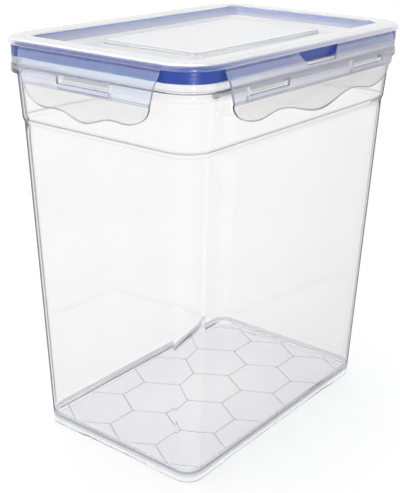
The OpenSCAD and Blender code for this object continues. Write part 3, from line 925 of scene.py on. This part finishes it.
def clip_tab(half, lobes):
    """Thin finger tab with a waved edge, set back under the ledge and turned out at its tip."""
    end = half - TAPER - 1
    steps = 40
    columns = [end * math.sin(math.pi / 2 * (i / steps - 1)) for i in range(2 * steps + 1)]
    rows = [-0.08] + [i / 12 for i in range(12)] + [0.95, 1.0]
    flick_z = ledge_z - LOBE_MID / 2

    def place(s, t, back):
        depth = max(0.6, tab_depth(s, end, **lobes))
        z = ledge_z - depth * t if t > 0 else ledge_z + 1.4 * (t < 0)
        turn = max(0, (flick_z - z) / (LOBE_MID / 2)) ** 2 * FLICK
        u = tab_u + turn + (0 if back else TAB_T)
        return Vector((s, -u, z)) * MM

    # the tab's waved edge gets a painted shade line
    return grid_shell(columns, rows, lambda s, t: place(s, t, False), lambda s, t: place(s, t, True),
                      lambda i, j: True, lambda s, t: 1.0 if t > 0.94 else 0.0)


# %% Hook bars
HOOK_SECTION = [(tab_u, ledge_z + 0.5), (plate_u + 0.3, ledge_z + 0.5),
                (plate_u + 0.3, hook_z), (tab_u, hook_z)]


def dressed_clip(side, half, windows, notched, lobes):
    """All pieces of one clip, riding on its body."""
    body_name = side + "_clip"
    plate = finish_mesh(f"{side}_clip_plate", clip_plate(half, windows, notched), 40)
    tab = finish_mesh(f"{side}_clip_tab", clip_tab(half, lobes), 40)
    plate.data.materials.append(CLIP)
    plate.data.materials.append(CLIP_HEAD)
    # faces above HEAD_Z take the head's painted gasket blue
    for face in plate.data.polygons:
        face.material_index = int(face.center.z > HEAD_Z * MM)
    tab.data.materials.append(TAB)
    made = [plate, tab]
    for number, window in enumerate(windows):
        hook = finish_mesh(f"{side}_hook_{number + 1}", prism(HOOK_SECTION, WINDOW_W, window))
        hook.data.materials.append(CLIP)
        made.append(hook)
    for piece in made:
        piece.data.transform(side_matrix(side))
        bevelled(piece, CLIP_BEVEL)
        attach(piece, body_name)
    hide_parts(body_name)
    return made


LONG_HALF, SHORT_HALF = 115.0, 67.0
clips = {}
for side in SIDES:
    if side in ("front", "back"):
        clips[side] = dressed_clip(side, LONG_HALF, LONG_WINDOWS, True, LOBES["long"])
    else:
        clips[side] = dressed_clip(side, SHORT_HALF, SHORT_WINDOWS, False, LOBES["short"])

# %% [markdown]
# ## Hinge films
# Between lid and clip the same plastic thins to half a millimetre, and that film bends each time a clip
# opens. Each strip has rows of faces from lip to clip, so that it can bend smoothly, and it rides on
# neither body.

# %% Hinge films
FILM_T, FILM_IN = 0.45, 0.3


def film(node, side, start, end):
    columns = refined([start, end], 6)
    rows = [lip_z + (clip_top - lip_z) * i / 10 for i in range(11)]

    def face(u):
        return lambda s, z: Vector((s, -u, z)) * MM

    outer, inner = face(-FILM_IN + FILM_T / 2), face(-FILM_IN - FILM_T / 2)
    mesh = grid_shell(columns, rows, outer, inner, lambda i, j: True)
    mesh.transform(side_matrix(side))
    strip = finish_mesh(node + "_strip", mesh, 60)
    strip.data.materials.append(FILM)
    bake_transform(strip)
    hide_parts(node)
    return strip


films = []
for side in ("front", "back"):
    films.append(film(side + "_film_a", side, -LONG_HALF, -NOTCH[0]))
    films.append(film(side + "_film_b", side, NOTCH[0], LONG_HALF))
for side in ("left", "right"):
    films.append(film(side + "_film", side, -SHORT_HALF, SHORT_HALF))
print(len(films), "film strips")

# %% [markdown]
# ## What rides on what
# The container is the body that stands still. Lid, nub and gasket rise together, and each visible piece
# stands for the CAD node whose place it takes.

# %% Ride
for piece in [container, honeycomb] + lugs:
    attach(piece, "bin")
for piece, slot in ((lid, "milky_plastic"), (nub, "milky_plastic"), (gasket, "silicone")):
    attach(piece, "cover")
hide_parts("container")
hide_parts("lid")
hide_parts("gasket")

# %% [markdown]
# ## Floor, world and lamps
# A catalogue photograph of a clear object is lit from all round against white, so that the plastic
# shows as edges and not as a grey lump. The floor has a matte share, which takes the lamps and keeps
# the soft shadow under the object, and a glow for the rays that reach it from the camera, off a gloss
# or through plastic. Both together come out white. The two main lamps are wide suns, because they
# light near and far floor alike, and a small lamp at the corner gives the gasket its upright highlight.

# %% Floor
FLOOR_SHARE, FLOOR_GREY = 0.5, 0.8
FLOOR_GLOW = 1.045 - FLOOR_SHARE * 0.97
FLOOR_REACH = 6.0
scene = bpy.context.scene


def seen_directly(tree):
    """1 for rays from the camera, off a gloss or through plastic, and 0 for soft light."""
    rays = add_node(tree, "ShaderNodeLightPath").outputs
    seen = maths(tree, "MAXIMUM", rays["Is Camera Ray"], rays["Is Glossy Ray"])
    return maths(tree, "MAXIMUM", seen, rays["Is Transmission Ray"])


def white_floor():
    mat, tree = new_material("white_floor")
    seen = seen_directly(tree)
    shade = add_node(tree, "ShaderNodeMix", {
        "Factor": 1, "A": ramp(tree, object_noise(tree, 3), [(0.4, 0.98), (0.6, 1.0)]),
        "B": between(tree, seen, FLOOR_GREY, FLOOR_SHARE)}, data_type="RGBA", blend_type="MULTIPLY")
    matte = add_node(tree, "ShaderNodeBsdfDiffuse", {"Color": shade.outputs["Result"]})
    glow = add_node(tree, "ShaderNodeEmission", {"Strength": between(tree, seen, 0, FLOOR_GLOW)})
    both = add_node(tree, "ShaderNodeAddShader", {
        0: matte.outputs["BSDF"], 1: glow.outputs["Emission"]})
    add_node(tree, "ShaderNodeOutputMaterial", {"Surface": both.outputs["Shader"]})
    return mat


floor_mesh = bpy.data.meshes.new("studio_floor")
floor_corners = [(x * FLOOR_REACH, y * FLOOR_REACH, 0) for x, y in ((-1, -1), (1, -1), (1, 1), (-1, 1))]
floor_mesh.from_pydata(floor_corners, [], [(0, 1, 2, 3)])
studio_floor = bpy.data.objects.new("studio_floor", floor_mesh)
scene.collection.objects.link(studio_floor)
studio_floor.data.materials.append(white_floor())

# %% World and lamps
SKY_SOFT, SKY_SEEN = 0.62, 1.0
world = bpy.data.worlds.new("white_studio")
scene.world = world
world.use_nodes = True
sky_tree = world.node_tree
sky_tree.nodes.clear()
sky = add_node(sky_tree, "ShaderNodeBackground", {
    "Color": (1, 1, 1, 1),
    "Strength": between(sky_tree, seen_directly(sky_tree), SKY_SOFT, SKY_SEEN)})
add_node(sky_tree, "ShaderNodeOutputWorld", {"Surface": sky.outputs["Background"]})


def soft_lamp(name, kind, place, aim, power, **form):
    """Lamp that faces a point. form is the size, or a sun's angle, that makes its light soft."""
    data = bpy.data.lights.new(name, kind)
    data.energy = power
    for setting, value in form.items():
        setattr(data, setting, value)
    lamp = bpy.data.objects.new(name, data)
    lamp.location = place
    lamp.rotation_mode = "QUATERNION"
    lamp.rotation_quaternion = (Vector(aim) - Vector(place)).to_track_quat("-Z", "Y")
    scene.collection.objects.link(lamp)


soft_lamp("key_left", "SUN", (-1.6, 0.3, 1.2), (0, 0, 0), 0.75, angle=math.radians(50))
soft_lamp("top_back", "SUN", (0.2, 0.6, 1.5), (0, 0, 0), 0.75, angle=math.radians(60))
soft_lamp("corner_strip", "AREA", (-0.95, -1.25, 0.12), (0, 0, 0.3), 5, shape="SQUARE", size=0.2)
print("lamps:", len(bpy.data.lights))

# %% [markdown]
# ## Camera
# The camera stands where the photographer's stood: a little above the bin, in front of the corner
# between its front and left faces. Its focal length is in pixels of the picture's long side, turned
# into millimetres of a 36 mm sensor.

# %% Camera
PICTURE_LONG_SIDE, SENSOR_MM = 493, 36
focal_px, azimuth, elevation, roll = 955.0, -52.08, 21.05, 1.0
distance, target = 820.0 * MM, Vector((-9.9, 4.3, 145.4)) * MM
a, e = math.radians(azimuth), math.radians(elevation)
back = Vector((math.sin(a) * math.cos(e), -math.cos(a) * math.cos(e), math.sin(e)))
lens = bpy.data.cameras.new("camera")
lens.lens = focal_px * SENSOR_MM / PICTURE_LONG_SIDE
lens.sensor_width = SENSOR_MM
lens.clip_start = 0.05
camera = bpy.data.objects.new("camera", lens)
camera.rotation_mode = "QUATERNION"
camera.location = target + back * distance
turn = Matrix.Rotation(math.radians(roll), 3, "Z").to_quaternion()
camera.rotation_quaternion = (-back).to_track_quat("-Z", "Y") @ turn
scene.collection.objects.link(camera)
scene.camera = camera
scene.view_settings.view_transform = "Standard"
for bounces in ("max_bounces", "transmission_bounces", "transparent_max_bounces"):
    setattr(scene.cycles, bounces, 24)
print("lens", round(lens.lens, 1))
